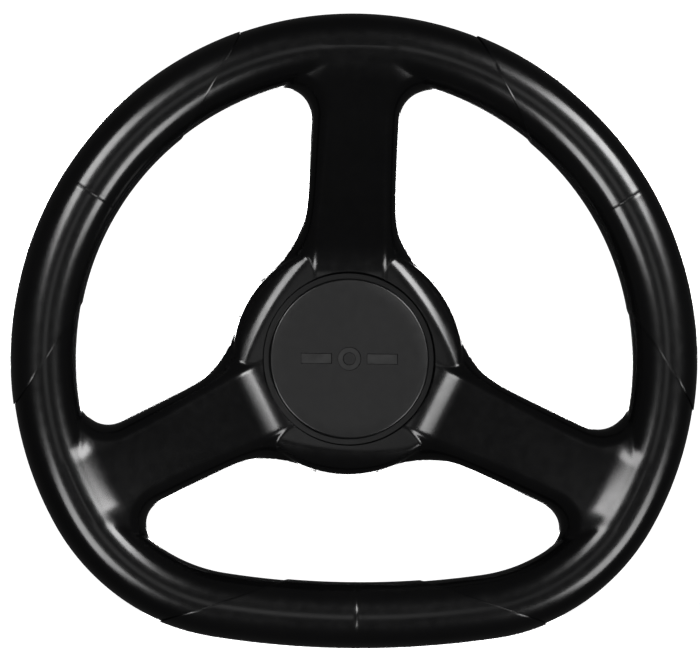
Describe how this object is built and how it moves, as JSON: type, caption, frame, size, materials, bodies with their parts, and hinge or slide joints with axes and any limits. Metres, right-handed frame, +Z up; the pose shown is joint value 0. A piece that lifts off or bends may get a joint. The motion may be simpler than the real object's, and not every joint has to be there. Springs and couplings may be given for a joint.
{
  "type": "quick release steering wheel",
  "caption": "Moulded three-spoke steering wheel with a flat bottom, dished spokes, round hub cap and a sliding-collar ball-lock quick release behind the hub.",
  "frame": {"origin": "on the steering axis, where the pilot bore starts, 19 mm inside the socket's mouth", "axes": "+X to the driver's right, +Y along the steering axis towards the column (the driver is on -Y), +Z up towards the upper spoke"},
  "size_m": [0.32, 0.0967, 0.2943],
  "materials": {
    "moulded_pu": "black moulded polyurethane, satin with a fine pebble grain",
    "grip_pu": "black moulded polyurethane grip, satin",
    "cap_plastic": "dark grey fine-textured plastic",
    "frame_steel": "mild steel, welded",
    "zinc_steel": "bright zinc-plated steel",
    "hard_steel": "broached hardened steel",
    "black_anodised": "black anodised aluminium",
    "clear_anodised": "clear anodised aluminium, satin",
    "spring_steel": "drawn spring wire",
    "black_steel": "phosphated spring steel",
    "ball_steel": "polished bearing steel",
    "seal_rubber": "black nitrile rubber"
  },
  "bodies": {
    "wheel": {"wheel_body": "moulded_pu", "left_grip": "grip_pu", "right_grip": "grip_pu", "bottom_grip": "grip_pu", "center_cap": "cap_plastic", "rim_hoop": "frame_steel", "top_spoke_bar": "frame_steel", "left_spoke_bar": "frame_steel", "right_spoke_bar": "frame_steel", "hub_plate": "frame_steel", "hub_screws": "zinc_steel", "screw_washers": "zinc_steel", "release_hub": "black_anodised", "spline_sleeve": "hard_steel", "anti_rattle_ring": "seal_rubber", "collar_spring": "spring_steel", "spring_seat": "zinc_steel", "stop_washer": "zinc_steel", "retaining_ring": "black_steel"},
    "collar": {"lock_collar": "clear_anodised"},
    "ball_1": {"lock_ball_1": "ball_steel"},
    "ball_2": {"lock_ball_2": "ball_steel"},
    "ball_3": {"lock_ball_3": "ball_steel"},
    "ball_4": {"lock_ball_4": "ball_steel"},
    "ball_5": {"lock_ball_5": "ball_steel"},
    "ball_6": {"lock_ball_6": "ball_steel"}
  },
  "joints": [
    {"name": "collar_slide", "type": "slide", "parent": "wheel", "child": "collar", "axis": [0, -1, 0], "range_m": [0, 0.008], "stiffness_N_per_m": 2000, "springref_m": -0.006, "deforming": ["collar_spring"]},
    {"name": "ball_1_slide", "type": "slide", "parent": "wheel", "child": "ball_1", "axis": [0.866, 0, 0.5], "range_m": [0, 0.0019]},
    {"name": "ball_2_slide", "type": "slide", "parent": "wheel", "child": "ball_2", "axis": [0, 0, 1], "range_m": [0, 0.0019]},
    {"name": "ball_3_slide", "type": "slide", "parent": "wheel", "child": "ball_3", "axis": [-0.866, 0, 0.5], "range_m": [0, 0.0019]},
    {"name": "ball_4_slide", "type": "slide", "parent": "wheel", "child": "ball_4", "axis": [-0.866, 0, -0.5], "range_m": [0, 0.0019]},
    {"name": "ball_5_slide", "type": "slide", "parent": "wheel", "child": "ball_5", "axis": [0, 0, -1], "range_m": [0, 0.0019]},
    {"name": "ball_6_slide", "type": "slide", "parent": "wheel", "child": "ball_6", "axis": [0.866, 0, -0.5], "range_m": [0, 0.0019]}
  ],
  "couplings": [
    {"joint": "ball_1_slide", "follows": "collar_slide", "ratio": 0.2375},
    {"joint": "ball_2_slide", "follows": "collar_slide", "ratio": 0.2375},
    {"joint": "ball_3_slide", "follows": "collar_slide", "ratio": 0.2375},
    {"joint": "ball_4_slide", "follows": "collar_slide", "ratio": 0.2375},
    {"joint": "ball_5_slide", "follows": "collar_slide", "ratio": 0.2375},
    {"joint": "ball_6_slide", "follows": "collar_slide", "ratio": 0.2375}
  ]
}
